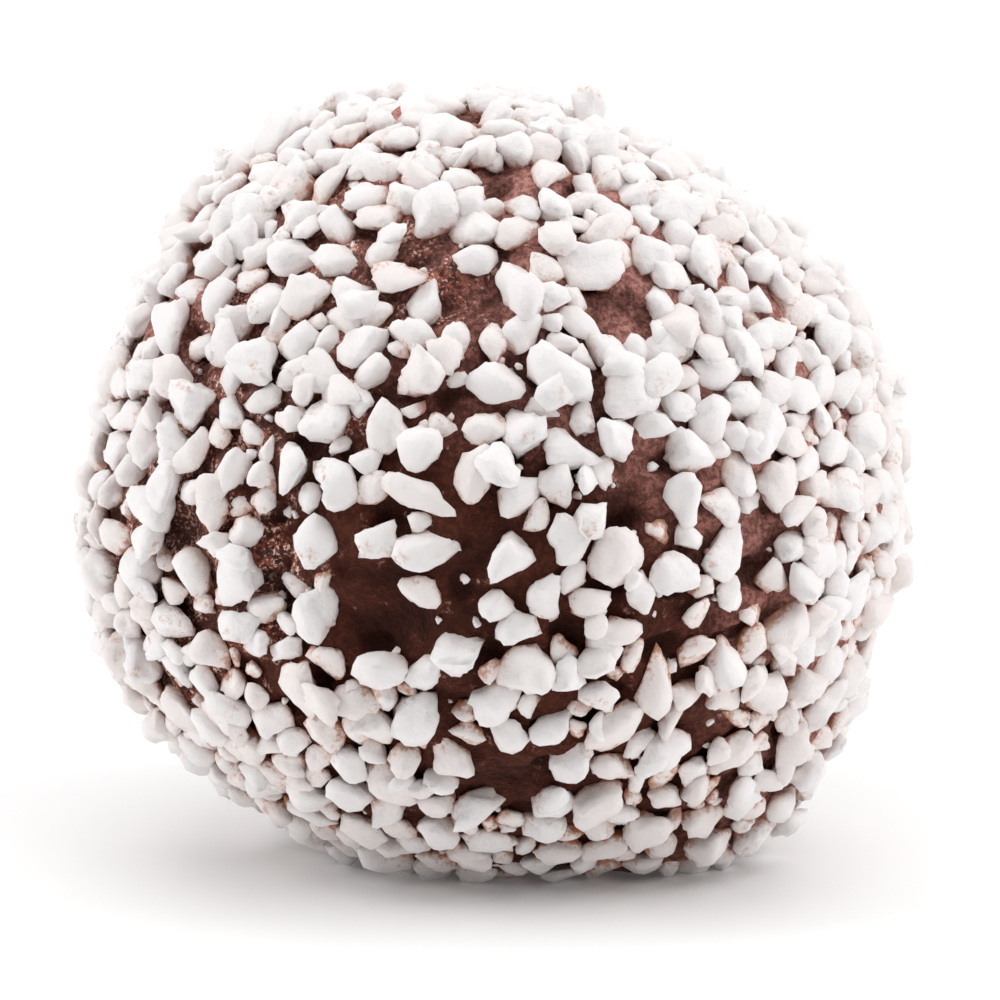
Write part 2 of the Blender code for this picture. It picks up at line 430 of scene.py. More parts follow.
class Value:
    """A socket that takes part in arithmetic. Each operator adds a Math node and gives its result."""

    def __init__(self, graph, socket):
        self.graph = graph
        self.socket = socket

    def math(self, operation, *operands):
        return self.graph.node("ShaderNodeMath", {"operation": operation}, dict(enumerate(operands)))

    def __add__(self, other):
        return self.math("ADD", self, other)

    def __radd__(self, other):
        return self.math("ADD", other, self)

    def __sub__(self, other):
        return self.math("SUBTRACT", self, other)

    def __rsub__(self, other):
        return self.math("SUBTRACT", other, self)

    def __mul__(self, other):
        return self.math("MULTIPLY", self, other)

    def __rmul__(self, other):
        return self.math("MULTIPLY", other, self)

    def clamped(self):
        """The value held between 0 and 1."""
        return self.graph.node("ShaderNodeClamp", {}, {"Value": self})

    def step(self, low, high):
        """0 below low and 1 above high, with a smooth way between. With low above high it falls instead."""
        if low > high:
            return 1 - self.step(high, low)
        sockets = {"Value": self, "From Min": low, "From Max": high}
        return self.graph.node("ShaderNodeMapRange", {"interpolation_type": "SMOOTHSTEP"}, sockets)


class Graph:
    """A material's nodes, which start with its Principled BSDF."""

    def __init__(self, name, constants):
        self.material = bpy.data.materials.new(name)
        self.material.use_nodes = True
        self.tree = self.material.node_tree
        self.shader = self.tree.nodes["Principled BSDF"]
        for socket, value in constants.items():
            self.shader.inputs[socket].default_value = value

    def node(self, kind, settings, sockets, output=0):
        """Adds a node of this type, with its settings first and then its sockets' values or links."""
        made = self.tree.nodes.new(kind)
        for name, value in settings.items():
            setattr(made, name, value)
        for name, value in sockets.items():
            self.feed(made.inputs[name], value)
        return Value(self, made.outputs[output])

    def feed(self, socket, value):
        """Links the socket to a value of this graph, or sets it to a plain one."""
        if isinstance(value, Value):
            self.tree.links.new(value.socket, socket)
        else:
            socket.default_value = value

    def surface(self, **sockets):
        """Feeds sockets of the Principled BSDF, whose names are given with _ for a space."""
        for name, value in sockets.items():
            self.feed(self.shader.inputs[name.replace("_", " ")], value)

    def place(self):
        """Object coordinates, in metres."""
        return self.node("ShaderNodeTexCoord", {}, {}, "Object")

    def moved(self, place, offset):
        """The place shifted by so much, so that one noise there doesn't match another."""
        return self.node("ShaderNodeVectorMath", {"operation": "ADD"}, {0: place, 1: offset})

    def attribute(self, name):
        """What the mesh holds under this name."""
        return self.node("ShaderNodeAttribute", {"attribute_name": name}, {}, "Fac")

    def noise(self, place, size, detail=2.0, roughness=0.5, distortion=0.0):
        """Noise around 0.5 whose blobs are about so many metres across."""
        sockets = {"Vector": place, "Scale": 1 / size, "Detail": detail, "Roughness": roughness}
        return self.node("ShaderNodeTexNoise", {}, {**sockets, "Distortion": distortion}, "Fac")

    def mixed(self, factor, first, second):
        """The first colour where factor is 0 and the second where it is 1."""
        colours = [value if isinstance(value, Value) else (*value, 1.0) for value in (first, second)]
        sockets = {"Factor": factor, COLOUR_A: colours[0], COLOUR_B: colours[1]}
        return self.node("ShaderNodeMix", {"data_type": "RGBA"}, sockets, COLOUR_RESULT)

    def bump(self, height, depth, below=None):
        """A normal for a height of 0 to 1 times depth in metres, over another bump if one is given."""
        sockets = {"Height": height, "Distance": depth, "Strength": 1.0}
        if below is not None:
            sockets["Normal"] = below
        return self.node("ShaderNodeBump", {}, sockets)


# How far across each finish's noise is, and how high its bumps stand
MOTTLE_SIZE = 1.3 * MM
GRAIN_SIZE = 0.36 * MM
FLECK_SIZE = 0.18 * MM
LUMP_SIZE = 0.50 * MM
COCOA_SIZE = 0.40 * MM
PATCH_SIZE = 2.6 * MM
MOTTLE_HEIGHT = 0.36 * MM
GRAIN_HEIGHT = 0.24 * MM
LUMP_HEIGHT = 0.10 * MM
FLOOR_GLOW = 0.04  # emission strength


def dough_finish(settings):
    """Cocoa dough: painted shade in its pits and painted light on its ridges, powder that also paints sheen
    away from its moist spots, and painted glints as pale flecks in places.
    """
    constants = {
        "Metallic": 0.0,
        "IOR": 1.45,
        "Specular IOR Level": 0.10,
        "Coat Roughness": 0.25,
        "Coat IOR": 1.5,
        "Sheen Weight": 0.05,
        "Sheen Roughness": 0.5,
        "Sheen Tint": (1.0, 0.5, 0.43, 1.0),
    }
    graph = Graph("cocoa_dough", constants)
    place = graph.place()
    mottle = graph.noise(place, MOTTLE_SIZE, 3.0, 0.62)
    grain = graph.noise(graph.moved(place, (0.7, 0.2, 0.5)), GRAIN_SIZE, 3.0, 0.7)
    flecks = graph.noise(graph.moved(place, (0.2, 0.5, 0.9)), FLECK_SIZE, 1.0, 0.5, 0.4)
    rise = graph.attribute("rise") + (mottle - 0.5) * 5.0
    # Painted shade in low relief and painted light on high relief
    pit = rise.step(-0.1, -1.3)
    ridge = rise.step(-0.4, 0.9)
    speckle = grain.step(0.42, 0.60)
    # Away from the moist spots: powder, which also paints the sheen of the lit rims
    dry_and_sheened = (1 - graph.attribute("moist")).step(0.3, 1.0)
    # Glint patches: painted glints, dough reddened as if lit, and more gloss
    glint_patch = (graph.attribute("glint_patch") + (mottle - 0.5) * 1.6).step(0.15, 0.60)
    glint_patch = glint_patch * (0.3 + ridge * 0.7)
    # The ruddy tone: partly the dough's own, partly painted light on ridges, rims and glint patches
    ruddy_tone_and_light = (0.12 + dry_and_sheened * 0.85 + glint_patch * 0.7) * (0.45 + ridge * 0.55)
    ruddy_tone_and_light = ruddy_tone_and_light * (0.30 + speckle * 0.80 - glint_patch * 0.3)
    colour = graph.mixed(ruddy_tone_and_light.clamped(), tuple(settings.colour), tuple(settings.ruddy))
    # Powder, which is also painted sheen, most on ridges
    dust_and_sheen_amount = dry_and_sheened * (0.40 + speckle * 0.60) * (0.50 + ridge * 0.50) * (1 - glint_patch * 0.7)
    colour = graph.mixed(dust_and_sheen_amount, colour, tuple(settings.dust_and_sheen))
    # Painted shade in the pits
    colour = graph.mixed(pit * (0.65 - dry_and_sheened * 0.35), colour, tuple(settings.painted_pit_shade))
    # Painted glints: pale flecks in the glint patches
    painted_glint = (flecks + (mottle - 0.5) * 0.8 + (grain - 0.5) * 0.6).step(0.61, 0.70) * glint_patch
    colour = graph.mixed(painted_glint * 0.9, colour, tuple(settings.painted_glint))
    graph.surface(
        Base_Color=colour,
        Roughness=0.60 - glint_patch * 0.2,
        Coat_Weight=glint_patch * 0.3,
        Normal=graph.bump(mottle, MOTTLE_HEIGHT, graph.bump(grain, GRAIN_HEIGHT)),
    )
    return graph.material


def sugar_finish(settings):
    """Pressed white sugar: matt, faintly uneven, creamier in places, and stained by cocoa near the dough.
    Creamier near the dough, and creamier and more stained on the lower nibs, is painted shade of the dough's
    reddish bounce light.
    """
    graph = Graph("pearl_sugar", {"Metallic": 0.0, "IOR": 1.5, "Specular IOR Level": 0.3})
    place = graph.place()
    lumps = graph.noise(place, LUMP_SIZE, 3.0, 0.6)
    cocoa = graph.noise(graph.moved(place, (0.5, 0.2, 0.4)), COCOA_SIZE, 3.0, 0.65)
    patch = graph.noise(graph.moved(place, (0.4, 0.6, 0.1)), PATCH_SIZE, 1.0)
    height = graph.attribute("height")
    warmth_and_bounce = graph.attribute("warmth_and_bounce")
    wetted = height + (cocoa - 0.5) * 1.6
    # Stain near the dough, heavier on the lower nibs, where that is painted shade
    soaked = wetted.step(0.75, 0.0) * warmth_and_bounce * warmth_and_bounce * 0.7
    fringe = wetted.step(0.60, 0.10) * (patch + (warmth_and_bounce - 0.5) * 0.3).step(0.52, 0.62)
    specks = cocoa.step(0.46, 0.74) * patch.step(0.62, 0.70)
    # Creamier by chance, and near the dough and on the lower nibs as painted shade of the dough's bounce
    # light
    cream_and_bounce = warmth_and_bounce.step(0.6, 1.0) * 0.7 + height.step(1.2, 0.2) * 0.5 + lumps.step(0.5, 0.7) * 0.2
    colour = graph.mixed(cream_and_bounce.clamped(), tuple(settings.colour), tuple(settings.cream_and_bounce))
    colour = graph.mixed((soaked + specks * 0.7).clamped(), colour, tuple(settings.stain))
    colour = graph.mixed(fringe * 0.6, colour, tuple(settings.fringe))
    normal = graph.bump(lumps, LUMP_HEIGHT)
    graph.surface(Base_Color=colour, Roughness=0.50 + lumps * 0.2, Normal=normal)
    return graph.material


def floor_finish(colour):
    """A matt white that glows faintly, like a light table."""
    constants = {"Roughness": 0.9, "Specular IOR Level": 0.2, "Emission Strength": FLOOR_GLOW}
    graph = Graph("white_sweep", constants)
    graph.surface(Base_Color=(*colour, 1.0), Emission_Color=(1.0, 1.0, 1.0, 1.0))
    return graph.material


# Shapes


def grid_quads(rows, columns):
    """The squares between points that lie in rows, each as the numbers of its four corners, shape (n, 4)."""
    corner = (np.arange(rows - 1)[:, None] * columns + np.arange(columns - 1)).reshape(-1)
    return np.stack([corner, corner + 1, corner + columns + 1, corner + columns], axis=1)


def cube_sphere(squares):
    """Unit directions, shape (n, 3), and quads of a cube blown up into a ball, so many squares to a side.

    On each side, the grid point (u, v), both within -1 to 1, goes the way of (1, tan(u pi / 4),
    tan(v pi / 4)) on that side's own axes. Points that two sides share are merged.
    """
    line = np.tan(np.linspace(-1, 1, squares + 1) * np.pi / 4)
    v, u = np.meshgrid(line, line, indexing="ij")
    quad = grid_quads(squares + 1, squares + 1)
    points, quads = [], []
    for axis in range(3):
        for side in (-1.0, 1.0):
            grid = np.stack([np.full_like(u, side), u, v * side], axis=-1).reshape(-1, 3)
            points.append(np.roll(grid, axis, axis=1))
            quads.append(quad + len(quads) * len(grid))
    points = unit(np.concatenate(points))
    _, first, merged = np.unique(np.round(points, 6), axis=0, return_index=True, return_inverse=True)
    return points[first], merged.reshape(-1)[np.concatenate(quads)]


def waves(places, count, lengths, kind):
    """A smooth random height about 0 at each place: a sum of sine waves of random way, phase and length."""
    rng = draws(kind)
    length = rng.uniform(*lengths, count)
    across = unit(rng.normal(size=(count, 3))) * (2 * np.pi / length)[:, None]
    phase = rng.uniform(0, 2 * np.pi, count)
    return np.sin(places @ across.T + phase).sum(axis=1) * np.sqrt(2 / count)


def cell_noise(cells, seed):
    """Three numbers within -1 to 1 for each cell of whole-number coordinates, always the same for a cell.

    Primes turn the coordinates into one code, and each number is what a large multiple of a sine of it
    leaves after the point.
    """
    keys = [cells[:, axis] * prime for axis, prime in enumerate(CELL_PRIMES[:3])]
    code = keys[0] ^ keys[1] ^ keys[2] ^ seed * CELL_PRIMES[3]
    sines = [np.sin(code % CODES * step) * SINE_SCALE for step in CODE_STEPS]
    return np.stack([np.modf(sine)[0] for sine in sines], axis=1)


def grains(places, size, seed):
    """Rounded grains packed side by side: 1 in the middle of each, falling to 0 halfway to its neighbours.

    Space is cut into cubes with one random point in each, and the height is 1 less the squared distance to
    the nearest point, over the cube's size squared.
    """
    cell = np.floor(places / size).astype(np.int64)
    nearest = np.full(len(places), np.inf)
    for step in np.stack(np.meshgrid(*[[-1, 0, 1]] * 3), axis=-1).reshape(-1, 3):
        corner = cell + step
        away = (corner + 0.5 + GRAIN_JITTER * cell_noise(corner, seed)) * size - places
        nearest = np.minimum(nearest, (away**2).sum(axis=1) / size**2)
    return np.clip(1 - nearest, 0, 1)


def dough_radius(directions, floor=0.0):
    """How far the dough reaches from its centre along unit directions, shape (n, 3).

    The sum of an ellipsoid, the lumps' bell curves, the swells' sines, less the creases, which are bell
    curves of the distance to a chord. A level cut at floor's height ends it.
    """
    radius = BALL_RADIUS / np.linalg.norm(directions / BALL_STRETCH, axis=1)
    for azimuth, elevation, height, spread in LUMPS:
        radius += height * MM * hump(directions @ facing(azimuth, elevation), spread)
    for azimuth_a, elevation_a, azimuth_b, elevation_b, depth, half_width in CREASES:
        a = facing(azimuth_a, elevation_a) * BALL_RADIUS
        b = facing(azimuth_b, elevation_b) * BALL_RADIUS
        spots = directions * BALL_RADIUS
        along = np.clip((spots - a) @ (b - a) / ((b - a) @ (b - a)), 0.0, 1.0)
        away = np.linalg.norm(spots - a - along[:, None] * (b - a), axis=1)
        radius -= depth * MM * np.exp(-0.5 * (away / (half_width * MM)) ** 2)
    rng = draws("swells")
    swell = rng.normal(size=(SWELLS, 3))
    swell *= (rng.uniform(*SWELL_TURNS, SWELLS) / np.linalg.norm(swell, axis=1))[:, None]
    radius += SWELL_HEIGHT * np.sin(directions @ swell.T + rng.uniform(0, 2 * np.pi, SWELLS)).sum(axis=1)
    down = np.minimum(directions[:, 2], -1e-6)
    return np.minimum(radius, (BALL_CENTRE[2] - floor) / -down)


def crumb_relief(places):
    """Height of the crumbly dough at each place, about -3 in a pit to 1.5 on a crumb.

    The sum of long sine waves, rounded grains of two sizes, and pits where other sine waves run high.
    """
    relief = 0.7 * waves(places, CRUMB_WAVES, CRUMB_LENGTHS, "relief")
    relief += 1.2 * (grains(places + GRAIN_ORIGIN, COARSE_CRUMB, 1) - CRUMB_MEAN)
    relief += 0.7 * (grains(places + GRAIN_ORIGIN, FINE_CRUMB, 2) - CRUMB_MEAN)
    pits = waves(places, CRUMB_WAVES, PIT_LENGTHS, "pits") - PIT_LEAST
    return relief - 2.0 * np.clip(pits, 0, PIT_MOST)


def nib_lengths():
    """The lengths of all the nibs, longest first."""
    rng = draws("lengths")
    drawn = rng.lognormal(np.log(NIB_LENGTH), NIB_SPREAD, NIBS_ON_BALL)
    return np.sort(np.minimum(drawn, NIB_LONGEST))[::-1], rng


def large_sizes():
    """Length, width and height of each nib of the solid, shape (n, 3): the landmarks, then the rest."""
    length, rng = nib_lengths()
    length = length[:NIBS_IN_SOLID]
    width = length * rng.uniform(*NIB_WIDTH, NIBS_IN_SOLID)
    marks = np.array(LANDMARKS, float)
    length[: len(marks)] = marks[:, 2] * MM
    width[: len(marks)] = marks[:, 3] * MM
    return np.stack([length, width, width * rng.uniform(*NIB_HEIGHT, NIBS_IN_SOLID)], axis=1)


def in_bare_spot(spots):
    """Whether each direction lies where the dough shows."""
    bare = np.zeros(len(spots), bool)
    for azimuth, elevation, radius in BARE_SPOTS:
        bare |= spots @ facing(azimuth, elevation) > np.cos(np.radians(radius))
    return bare


def spread_large(count):
    """The direction of each of the solid's nibs from the ball's centre, spread evenly after the landmarks.

    Of some random spots outside the bare ones, a nib takes the one farthest from the nibs already there.
    """
    rng = draws("places")
    marks = np.array(LANDMARKS, float)
    placed = facing(marks[:, 0], marks[:, 1])
    while len(placed) < count:
        spots = unit(rng.normal(size=(NIB_TRIES, 3)))
        spots = spots[~in_bare_spot(spots) & (spots[:, 2] >= np.sin(np.radians(UNDERSIDE)))]
        nearest = np.linalg.norm(spots[:, None] - placed[None], axis=2).min(axis=1)
        placed = np.vstack([placed, spots[nearest.argmax()]])
    return placed


def level_axes(outward):
    """East and north on the dough at each direction."""
    east = unit(np.cross([0.0, 0.0, 1.0], outward))
    return east, np.cross(outward, east)


def nib_frames(outward, turn, tilt):
    """The axes of each nib as columns, shape (n, 3, 3): it lies along the dough, tilted a little."""
    east, north = level_axes(outward)
    long_axis = unit(east * np.cos(turn) + north * np.sin(turn) + outward * np.tan(tilt[:, :1]))
    up = outward + np.cross(outward, long_axis) * np.tan(tilt[:, 1:])
    across = unit(np.cross(up, long_axis))
    return np.stack([long_axis, across, np.cross(long_axis, across)], axis=2)


def bites(directions, count, rng):
    """What round bites leave of each nib's radius, shape (n, points): 1 less a bell curve for each."""
    middles = unit(rng.normal(size=(count, NIB_BITES, 3)))
    depth = rng.uniform(0, NIB_BITE_DEPTH, (count, 1, NIB_BITES))
    cosine = np.einsum("vi,nki->nvk", directions, middles)
    return 1 - (depth * hump(cosine, NIB_BITE_SPREAD)).sum(axis=2)


def nib_shapes(directions, count, kind):
    """Points of each nib along unit directions, shape (n, points, 3), within -1 to 1 on its own axes.

    A nib is a crystalline lump cut by planes: its radius is the inverse p-norm of direction . normal / reach
    over the planes, which rounds the edges between them, less its bites. It is then tapered and bent along
    its length, fitted to the box, and dented by the sum of some sine waves and a little chance.
    """
    rng = draws(kind)
    normals = unit(rng.normal(size=(count, NIB_PLANES, 3)))
    reach = rng.uniform(*NIB_PLANE_REACH, (count, 1, NIB_PLANES))
    taper = rng.uniform(-NIB_TAPER, NIB_TAPER, (count, 1))
    bend = rng.uniform(-NIB_BEND, NIB_BEND, (count, 1))
    cuts = np.maximum(np.einsum("vi,nki->nvk", directions, normals), 0.0) / reach
    radius = ((cuts**NIB_EDGE).sum(axis=2) + NIB_CAP**-NIB_EDGE) ** (-1 / NIB_EDGE)
    points = directions[None] * (radius * bites(directions, count, rng))[:, :, None]
    slim = 1 + taper * points[:, :, 0]
    points[:, :, 1] = points[:, :, 1] * slim + bend * points[:, :, 0] ** 2
    points[:, :, 2] *= slim
    low, high = points.min(axis=1, keepdims=True), points.max(axis=1, keepdims=True)
    points = (points - (low + high) / 2) / ((high - low) / 2)
    turns = unit(rng.normal(size=(count, NIB_DENTS, 3)))
    turns = turns * rng.uniform(*NIB_DENT_TURNS, (count, NIB_DENTS, 1))
    phase = rng.uniform(0, 2 * np.pi, (count, 1, NIB_DENTS))
    dents = np.sin(np.einsum("nvi,nki->nvk", points, turns) + phase).sum(axis=2) * NIB_DENT_DEPTH
    dents += rng.normal(0, NIB_ROUGHNESS, dents.shape)
    return points * (1 + dents[:, :, None])


class Nibs:
    """Places of the nibs so far: sizes (n, 3), directions from the ball's centre, turn, tilt and lift."""

    def __init__(self):
        rng = draws("turns")
        self.size = large_sizes()
        self.outward = spread_large(NIBS_IN_SOLID)
        self.turn = rng.uniform(0, 2 * np.pi, (NIBS_IN_SOLID, 1))
        self.tilt = np.radians(rng.normal(0, NIB_TILT, (NIBS_IN_SOLID, 2)))
        self.turn[: len(LANDMARKS), 0] = np.radians([row[4] for row in LANDMARKS])
        self.tilt[: len(LANDMARKS)] *= LANDMARK_TILT
        self.lift = np.zeros(NIBS_IN_SOLID)

    def crowding(self, size, spots, turns):
        """How far each spot lies from each nib there, of the distance where their outlines would touch.

        An oval outline of half length a and half width b reaches the root of (a cos)^2 + (b sin)^2 towards
        the other nib, by the angle between that way and its own length.
        """
        east, north = level_axes(spots)
        mine = east * np.cos(turns) + north * np.sin(turns)
        east, north = level_axes(self.outward)
        theirs = east * np.cos(self.turn) + north * np.sin(self.turn)
        between = (self.outward[None] - spots[:, None]) * BALL_RADIUS
        apart = np.linalg.norm(between, axis=2)
        way = between / np.maximum(apart, 1e-9)[:, :, None]
        cos_mine = (way * mine[:, None]).sum(axis=2) ** 2
        cos_theirs = (way * theirs[None]).sum(axis=2) ** 2
        a, b = size[:2] / 2
        reach = np.sqrt(a**2 * cos_mine + b**2 * (1 - cos_mine))
        a, b = self.size[:, :2].T / 2
        reach = reach + np.sqrt(a**2 * cos_theirs + b**2 * (1 - cos_theirs))
        return apart / reach

    def add(self, size, spot, turn, tilt, lift):
        self.size = np.vstack([self.size, size])
        self.outward = np.vstack([self.outward, spot])
        self.turn = np.vstack([self.turn, turn])
        self.tilt = np.vstack([self.tilt, tilt])
        self.lift = np.append(self.lift, lift)

    def fill_gaps(self, sizes, rng):
        """Gives each nib the first of its random spots and turns that is clear of those already there."""
        for size in sizes:
            spots = unit(rng.normal(size=(GAP_TRIES, 3)))
            turns = rng.uniform(0, 2 * np.pi, (GAP_TRIES, 1))
            tilt = np.radians(rng.normal(0, NIB_TILT, 2))
            sparse = sum(more * hump(spots @ facing(a, e), spread) for a, e, spread, more in SPARSE)
            crowd = waves(spots * BALL_RADIUS, CROWD_WAVES, CROWD_LENGTHS, "crowds") > sparse - CROWD_LEAST
            apart = self.crowding(size, spots, turns).min(axis=1) > GAP_LEAST + GAP_MORE * sparse
            clear = crowd & apart & ~in_bare_spot(spots)
            if clear.any():
                best = clear.argmax()
                self.add(size, spots[best], turns[best], tilt, 0.0)

    def pile_up(self, sizes, rng):
        """Lays nibs over others, mostly away from the front, each lifted by the ones that it covers.

        A nib below lifts it by the height that it stands times the root of 1 less how far apart they are.
        """
        for size in sizes:
            spots = unit(rng.normal(size=(GAP_TRIES, 3)))
            turns = rng.uniform(0, 2 * np.pi, (GAP_TRIES, 1))
            tilt = np.radians(rng.normal(0, PILE_TILT * NIB_TILT, 2))
            near = self.crowding(size, spots, turns)
            open_front = hump(spots @ facing(*FRONT), PILE_CLEAR) > rng.uniform(0, 1, GAP_TRIES)
            steep = spots[:, 2] < np.sin(np.radians(PILE_LOWEST))
            clear = (near.min(axis=1) > PILE_GAP) & ~in_bare_spot(spots) & ~open_front & ~steep
            if clear.any():
                best = clear.argmax()
                top = self.lift + self.size[:, 2] * PILE_STAND
                lift = (top * np.sqrt(np.clip(1 - near[best], 0, 1))).max() * PILE_LIFT
                self.add(size, spots[best], turns[best], tilt, min(lift, PILE_HIGHEST))

    def fallen(self):
        """Which of the smaller nibs have dropped off the back, in patches where long waves run low."""
        low = waves(self.outward * BALL_RADIUS, CROWD_WAVES, CROWD_LENGTHS, "fallen")
        gone = low < FALLEN_SHARE * hump(self.outward @ facing(*BACK), BACK_SPREAD) - FALLEN_LEAST
        gone[:NIBS_IN_SOLID] = False
        return gone


def scatter_nibs(piled):
    """All the nibs' places: the solid's, then smaller ones in the gaps, then some on top."""
    rng = draws("scatter")
    nibs = Nibs()
    drawn = rng.lognormal(np.log(SMALL_LENGTH), SMALL_SPREAD, SMALL_NIBS)
    length = np.sort(np.minimum(drawn, SMALL_LONGEST))[::-1]
    width = length * rng.uniform(*NIB_WIDTH, len(length))
    sizes = np.stack([length, width, width * rng.uniform(*NIB_HEIGHT, len(length))], axis=1)
    on_top = np.zeros(len(sizes), bool)
    on_top[rng.permutation(len(sizes))[:piled]] = True
    nibs.fill_gaps(sizes[~on_top], rng)
    nibs.pile_up(sizes[on_top], rng)
    return nibs


def placed_points(shapes, size, middles, frames):
    """Points of shapes within -1 to 1, shape (n, points, 3), given their sizes, axes and middles."""
    return np.einsum("nij,nvj->nvi", frames, shapes * size[:, None] / 2) + middles[:, None]


def nib_points(nibs, directions, floor):
    """Points of every nib in its place, shape (n, points, 3). What would pass the floor is moved up."""
    small = len(nibs.size) - NIBS_IN_SOLID
    large_shapes = nib_shapes(directions, NIBS_IN_SOLID, "shapes")
    shapes = np.concatenate([large_shapes, nib_shapes(directions, small, "small shapes")])
    large_seats = draws("seats").uniform(*NIB_SEAT, NIBS_IN_SOLID)
    seats = np.concatenate([large_seats, draws("small seats").uniform(*NIB_SEAT, small)])
    height = dough_radius(nibs.outward, floor) + seats * nibs.size[:, 2] / 2 + nibs.lift
    middles = BALL_CENTRE + nibs.outward * height[:, None]
    points = placed_points(shapes, nibs.size, middles, nib_frames(nibs.outward, nibs.turn, nibs.tilt))
    points[:, :, 2] += np.maximum(-points[:, :, 2].min(axis=1), 0.0)[:, None]
    return points


def crumb_points(count, directions, floor):
    """Points of the fine crumbs of sugar on the dough, as nib_points gives them."""
    rng = draws("crumbs")
    length = rng.lognormal(np.log(SUGAR_CRUMB_LENGTH), SUGAR_CRUMB_SPREAD, (count, 1))
    size = length * rng.uniform(*SUGAR_CRUMB_WIDTH, (count, 3))
    outward = unit(rng.normal(size=(count, 3)))
    middles = BALL_CENTRE + outward * (dough_radius(outward, floor) + size[:, 2] * SUGAR_CRUMB_SEAT)[:, None]
    frames = nib_frames(outward, rng.uniform(0, 2 * np.pi, (count, 1)), np.zeros((count, 2)))
    points = placed_points(nib_shapes(directions, count, "crumb shapes"), size, middles, frames)
    return points[points[:, :, 2].min(axis=1) > 0]


def height_above_dough(points, floor):
    """How far points stand above the dough, in mm."""
    out = points.reshape(-1, 3) - BALL_CENTRE
    away = np.linalg.norm(out, axis=1)
    return (away - dough_radius(out / away[:, None], floor)) / MM


# Pieces


def add_piece(name, points, quads, material, attributes):
    """A smooth mesh of these points and quads, which rides on the ball. Attributes hold a number a point."""
    mesh = bpy.data.meshes.new(name)
    mesh.from_pydata(points.tolist(), [], quads.tolist())
    for label, values in attributes.items():
        mesh.attributes.new(label, "FLOAT", "POINT").data.foreach_set("value", np.asarray(values, np.float32))
    mesh.shade_smooth()
    mesh.materials.append(material)
    piece = bpy.data.objects.new(name, mesh)
    bpy.context.scene.collection.objects.link(piece)
    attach(piece, "root")
    return piece


class SWEETS_OT_add_dough(bpy.types.Operator):
    """Makes the ball of dough in place of the solid, with its crumbs and pits"""

    bl_idname = "sweets.add_dough"
    bl_label = "Add dough"

    def execute(self, context):
        settings = context.scene.dough
        directions, quads = cube_sphere(settings.detail)
        radius = dough_radius(directions, settings.lift)
        rise = crumb_relief(directions * BALL_RADIUS)
        down = np.maximum(-directions[:, 2], 1e-6)
        radius = np.minimum(radius + settings.crumb * rise, (BALL_CENTRE[2] - settings.lift) / down)
        points = BALL_CENTRE + directions * radius[:, None]
        # Where glints are painted as pale flecks
        glint_patch = sum(hump(directions @ facing(a, e), spread) for a, e, spread in GLINT_PATCHES)
        moist = sum(hump(directions @ facing(a, e), spread) * amount for a, e, spread, amount in MOIST)
        attributes = {"rise": rise, "glint_patch": glint_patch, "moist": moist}
        piece = add_piece("dough", points, quads, dough_finish(settings), attributes)
        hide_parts(NODE)
        return {"FINISHED"}


class SWEETS_OT_add_sugar(bpy.types.Operator):
    """Scatters the sugar nibs, in pieces from the largest to the smallest"""

    bl_idname = "sweets.add_sugar"
    bl_label = "Add pearl sugar"

    def execute(self, context):
        settings = context.scene.sugar
        floor = context.scene.dough.lift
        nibs = scatter_nibs(settings.piled)
        finish = sugar_finish(settings)
        warmth_and_bounce = draws("warmth_and_bounce").uniform(0, 1, len(nibs.size))
        # Painted shade: lower nibs tinted more, for the dough's reddish bounce light
        warmth_and_bounce += LOW_BOUNCE_SHADE * np.clip(LOW_START - LOW_RATE * nibs.outward[:, 2], 0, 1)
        order = np.argsort(-nibs.size[:, 0], kind="stable")
        order = order[~nibs.fallen()[order]]
        for (name, squares), share in zip(NIB_PIECES, np.array_split(order, len(NIB_PIECES))):
            directions, quads = cube_sphere(squares)
            points = nib_points(nibs, directions, floor)[share]
            add_nibs(name, points, quads, finish, warmth_and_bounce[share], floor)
        directions, quads = cube_sphere(2)
        points = crumb_points(settings.crumbs, directions, floor)
        add_nibs("sugar_crumbs", points, quads, finish, np.full(len(points), SUGAR_CRUMB_WARMTH), floor)
        return {"FINISHED"}


def add_nibs(name, points, quads, finish, warmth_and_bounce, floor):
    """One piece of many nibs, whose points have shape (n, points, 3)."""
    count, each = points.shape[:2]
    corners = points.reshape(-1, 3)
    faces = (quads[None] + (np.arange(count) * each)[:, None, None]).reshape(-1, 4)
    attributes = {"height": height_above_dough(corners, floor), "warmth_and_bounce": np.repeat(warmth_and_bounce, each)}
    add_piece(name, corners, faces, finish, attributes)


class SWEETS_OT_add_stage(bpy.types.Operator):
    """Sets up the white floor, the soft studio light and the camera"""

    bl_idname = "sweets.add_stage"
    bl_label = "Add stage"

    def execute(self, context):
        settings = context.scene.stage
        add_floor(settings)
        add_lights()
        add_camera(settings)
        return {"FINISHED"}


def add_floor(settings):
    """A white sweep: level floor, then a quarter circle up into a wall behind, the same all along X."""
    reach, bend, wall, half_width = 1.6, 0.5, 1.2, 2.2
    level = np.array([-reach, -0.2, 0.3, reach - bend])
    turn = np.linspace(0, np.pi / 2, 13)[1:]
    y = np.concatenate([level, reach - bend + bend * np.sin(turn), [reach]])
    z = np.concatenate([0 * level, bend - bend * np.cos(turn), [wall + bend]])
    x = np.linspace(-half_width, half_width, 9)
    points = np.stack(np.broadcast_arrays(x[None, :], y[:, None], z[:, None]), axis=-1).reshape(-1, 3)
    quads = grid_quads(len(y), len(x))
    mesh = bpy.data.meshes.new("floor")
    mesh.from_pydata(points.tolist(), [], quads.tolist())
    mesh.shade_smooth()
    mesh.materials.append(floor_finish(settings.floor))
    sweep = bpy.data.objects.new("floor", mesh)
    bpy.context.scene.collection.objects.link(sweep)


